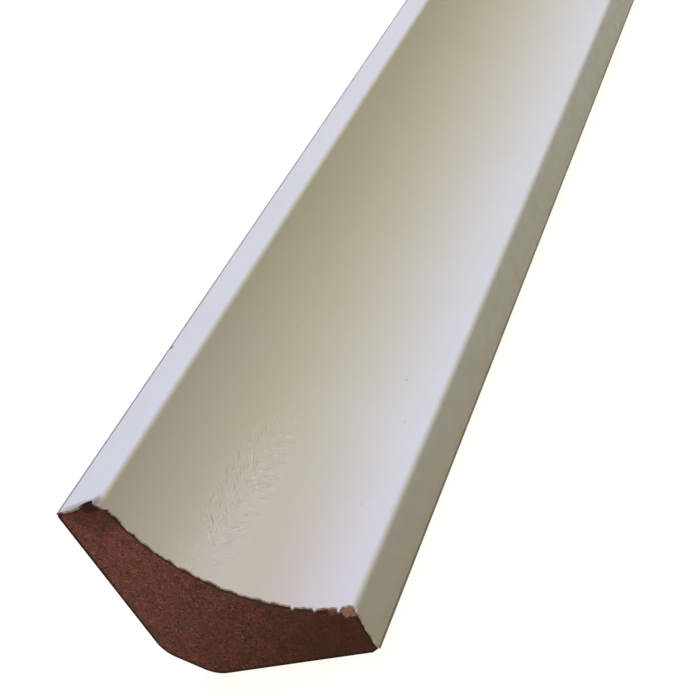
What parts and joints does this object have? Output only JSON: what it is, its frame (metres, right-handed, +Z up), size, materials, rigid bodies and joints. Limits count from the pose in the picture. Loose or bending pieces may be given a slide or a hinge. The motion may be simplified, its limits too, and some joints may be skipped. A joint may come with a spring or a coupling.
{
  "type": "cove trim strip",
  "caption": "Straight cove trim strip for inside corners: a fibreboard core with a hollow face and flat lips under a thin pale film, two flat back faces to glue, and square cut ends.",
  "frame": {"origin": "on the floor under the middle of the strip, centred on its box", "axes": "+X along the length, +Y out of the wall face, +Z up from the floor face; the hollow looks to -Y and +Z"},
  "size_m": [1.2, 0.02, 0.02],
  "materials": {
    "fibreboard": "matte",
    "wrap_film": "satin"
  },
  "bodies": {
    "root": {"fibreboard_core": "fibreboard", "foil_wrap": "wrap_film"}
  },
  "joints": []
}
